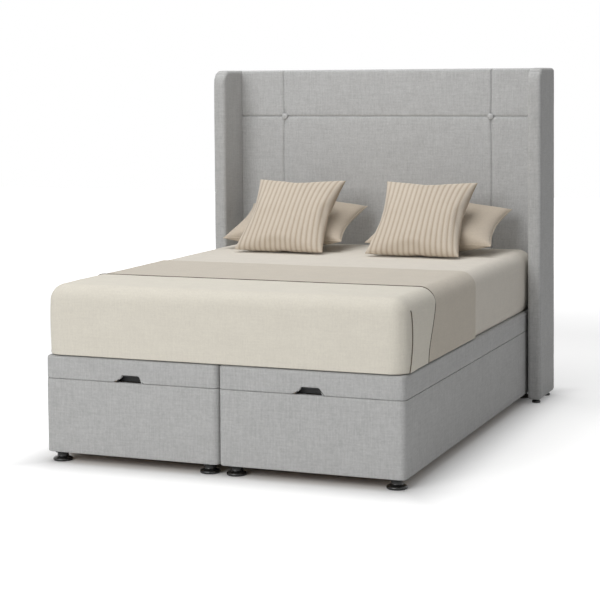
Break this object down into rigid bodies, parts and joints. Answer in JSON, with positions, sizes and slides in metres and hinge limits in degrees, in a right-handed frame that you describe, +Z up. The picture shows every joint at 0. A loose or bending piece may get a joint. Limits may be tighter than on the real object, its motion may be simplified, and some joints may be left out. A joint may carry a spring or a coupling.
{
  "type": "ottoman divan bed",
  "caption": "Upholstered ottoman storage divan in two linked halves, end-lift lid on gas struts, winged floor-standing headboard, mattress and bedding",
  "frame": {"origin": "centre of the bed's outline on the floor", "axes": "+Z up, +Y from the foot end to the headboard, +X across the bed to its right-hand side seen from the foot"},
  "size_m": [1.652, 2.085, 1.56],
  "materials": {
    "linen_grey": "grey linen-look upholstery cloth over thin padding",
    "timber": "pale softwood and chipboard",
    "hardboard": "brown hardboard",
    "back_cloth": "thin black backing cloth",
    "glide_plastic": "glossy black moulded plastic",
    "cup_plastic": "matte black moulded plastic",
    "zinc_steel": "zinc-plated pressed steel",
    "strut_paint": "black painted tube",
    "strut_chrome": "hard chromed rod",
    "sheet_cream": "cream fitted sheet",
    "coverlet_cream": "cream woven coverlet",
    "throw_greige": "greige woven throw",
    "pillow_beige": "beige plain-woven pillow with a piped edge",
    "cushion_stripe": "beige ribbed cushion cloth"
  },
  "bodies": {
    "base": {"base_carcass_left": "timber", "base_carcass_right": "timber", "base_floor_left": "hardboard", "base_floor_right": "hardboard", "base_cover_left": "linen_grey", "base_cover_right": "linen_grey", "base_glides": "glide_plastic", "base_link_bolts": "zinc_steel", "headboard_board": "timber", "headboard_face": "linen_grey", "headboard_back": "back_cloth", "headboard_spacers": "timber", "headboard_bolts": "zinc_steel", "headboard_buttons": "linen_grey", "wing_board_left": "timber", "wing_board_right": "timber", "wing_cover_left": "linen_grey", "wing_cover_right": "linen_grey", "wing_glides": "glide_plastic", "left_outer_hinge_plate": "zinc_steel", "left_inner_hinge_plate": "zinc_steel", "right_inner_hinge_plate": "zinc_steel", "right_outer_hinge_plate": "zinc_steel"},
    "lid": {"lid_frame_left": "timber", "lid_frame_right": "timber", "lid_deck_left": "hardboard", "lid_deck_right": "hardboard", "lid_cover_left": "linen_grey", "lid_cover_right": "linen_grey", "finger_cup_left": "cup_plastic", "finger_cup_right": "cup_plastic", "lid_link_bolts": "zinc_steel", "mattress": "sheet_cream", "coverlet": "coverlet_cream", "throw": "throw_greige", "pillow_left": "pillow_beige", "pillow_right": "pillow_beige", "cushion_left": "cushion_stripe", "cushion_right": "cushion_stripe", "left_outer_lid_bracket": "zinc_steel", "left_inner_lid_bracket": "zinc_steel", "right_inner_lid_bracket": "zinc_steel", "right_outer_lid_bracket": "zinc_steel"},
    "left_outer_short_arm": {"left_outer_short_arm": "zinc_steel"},
    "left_outer_long_arm": {"left_outer_long_arm": "zinc_steel"},
    "left_outer_strut_tube": {"left_outer_strut_tube": "strut_paint"},
    "left_outer_strut_rod": {"left_outer_strut_rod": "strut_chrome"},
    "left_inner_short_arm": {"left_inner_short_arm": "zinc_steel"},
    "left_inner_long_arm": {"left_inner_long_arm": "zinc_steel"},
    "left_inner_strut_tube": {"left_inner_strut_tube": "strut_paint"},
    "left_inner_strut_rod": {"left_inner_strut_rod": "strut_chrome"},
    "right_inner_short_arm": {"right_inner_short_arm": "zinc_steel"},
    "right_inner_long_arm": {"right_inner_long_arm": "zinc_steel"},
    "right_inner_strut_tube": {"right_inner_strut_tube": "strut_paint"},
    "right_inner_strut_rod": {"right_inner_strut_rod": "strut_chrome"},
    "right_outer_short_arm": {"right_outer_short_arm": "zinc_steel"},
    "right_outer_long_arm": {"right_outer_long_arm": "zinc_steel"},
    "right_outer_strut_tube": {"right_outer_strut_tube": "strut_paint"},
    "right_outer_strut_rod": {"right_outer_strut_rod": "strut_chrome"}
  },
  "joints": [
    {"name": "left_outer_short_arm_turn", "type": "hinge", "parent": "base", "child": "left_outer_short_arm", "pos_m": [-0.7173, 0.3625, 0.273], "axis": [1, 0, 0], "range_deg": [0, 47.92]},
    {"name": "left_outer_long_arm_turn", "type": "hinge", "parent": "base", "child": "left_outer_long_arm", "pos_m": [-0.7095, 0.1625, 0.079], "axis": [1, 0, 0], "range_deg": [0, 34.39]},
    {"name": "left_outer_strut_turn", "type": "hinge", "parent": "base", "child": "left_outer_strut_tube", "pos_m": [-0.7105, 0.6585, 0.087], "axis": [1, 0, 0], "range_deg": [0, 34.57]},
    {"name": "left_outer_strut_slide", "type": "slide", "parent": "left_outer_strut_tube", "child": "left_outer_strut_rod", "axis": [0, 0.2889, 0.9573], "range_m": [0, 0.16314]},
    {"name": "left_inner_short_arm_turn", "type": "hinge", "parent": "base", "child": "left_inner_short_arm", "pos_m": [-0.0342, 0.3625, 0.273], "axis": [1, 0, 0], "range_deg": [0, 47.92]},
    {"name": "left_inner_long_arm_turn", "type": "hinge", "parent": "base", "child": "left_inner_long_arm", "pos_m": [-0.042, 0.1625, 0.079], "axis": [1, 0, 0], "range_deg": [0, 34.39]},
    {"name": "left_inner_strut_turn", "type": "hinge", "parent": "base", "child": "left_inner_strut_tube", "pos_m": [-0.041, 0.6585, 0.087], "axis": [1, 0, 0], "range_deg": [0, 34.57]},
    {"name": "left_inner_strut_slide", "type": "slide", "parent": "left_inner_strut_tube", "child": "left_inner_strut_rod", "axis": [0, 0.2889, 0.9573], "range_m": [0, 0.16314]},
    {"name": "right_inner_short_arm_turn", "type": "hinge", "parent": "base", "child": "right_inner_short_arm", "pos_m": [0.0342, 0.3625, 0.273], "axis": [1, 0, 0], "range_deg": [0, 47.92]},
    {"name": "right_inner_long_arm_turn", "type": "hinge", "parent": "base", "child": "right_inner_long_arm", "pos_m": [0.042, 0.1625, 0.079], "axis": [1, 0, 0], "range_deg": [0, 34.39]},
    {"name": "right_inner_strut_turn", "type": "hinge", "parent": "base", "child": "right_inner_strut_tube", "pos_m": [0.041, 0.6585, 0.087], "axis": [1, 0, 0], "range_deg": [0, 34.57]},
    {"name": "right_inner_strut_slide", "type": "slide", "parent": "right_inner_strut_tube", "child": "right_inner_strut_rod", "axis": [0, 0.2889, 0.9573], "range_m": [0, 0.16314]},
    {"name": "right_outer_short_arm_turn", "type": "hinge", "parent": "base", "child": "right_outer_short_arm", "pos_m": [0.7173, 0.3625, 0.273], "axis": [1, 0, 0], "range_deg": [0, 47.92]},
    {"name": "right_outer_long_arm_turn", "type": "hinge", "parent": "base", "child": "right_outer_long_arm", "pos_m": [0.7095, 0.1625, 0.079], "axis": [1, 0, 0], "range_deg": [0, 34.39]},
    {"name": "right_outer_strut_turn", "type": "hinge", "parent": "base", "child": "right_outer_strut_tube", "pos_m": [0.7105, 0.6585, 0.087], "axis": [1, 0, 0], "range_deg": [0, 34.57]},
    {"name": "right_outer_strut_slide", "type": "slide", "parent": "right_outer_strut_tube", "child": "right_outer_strut_rod", "axis": [0, 0.2889, 0.9573], "range_m": [0, 0.16314]},
    {"name": "lid_lift", "type": "hinge", "parent": "right_inner_short_arm", "child": "lid", "pos_m": [0.0342, 0.6725, 0.388], "axis": [-1, 0, 0], "range_deg": [0, 87.9]}
  ],
  "couplings": [
    {"joint": "left_outer_short_arm_turn", "follows": "lid_lift", "ratio": 0.54493},
    {"joint": "left_outer_long_arm_turn", "follows": "lid_lift", "ratio": 0.39103},
    {"joint": "left_outer_strut_turn", "follows": "lid_lift", "ratio": 0.3931},
    {"joint": "left_outer_strut_slide", "follows": "lid_lift", "m_per_rad": 0.10628},
    {"joint": "left_inner_short_arm_turn", "follows": "lid_lift", "ratio": 0.54493},
    {"joint": "left_inner_long_arm_turn", "follows": "lid_lift", "ratio": 0.39103},
    {"joint": "left_inner_strut_turn", "follows": "lid_lift", "ratio": 0.3931},
    {"joint": "left_inner_strut_slide", "follows": "lid_lift", "m_per_rad": 0.10628},
    {"joint": "right_inner_short_arm_turn", "follows": "lid_lift", "ratio": 0.54493},
    {"joint": "right_inner_long_arm_turn", "follows": "lid_lift", "ratio": 0.39103},
    {"joint": "right_inner_strut_turn", "follows": "lid_lift", "ratio": 0.3931},
    {"joint": "right_inner_strut_slide", "follows": "lid_lift", "m_per_rad": 0.10628},
    {"joint": "right_outer_short_arm_turn", "follows": "lid_lift", "ratio": 0.54493},
    {"joint": "right_outer_long_arm_turn", "follows": "lid_lift", "ratio": 0.39103},
    {"joint": "right_outer_strut_turn", "follows": "lid_lift", "ratio": 0.3931},
    {"joint": "right_outer_strut_slide", "follows": "lid_lift", "m_per_rad": 0.10628}
  ]
}
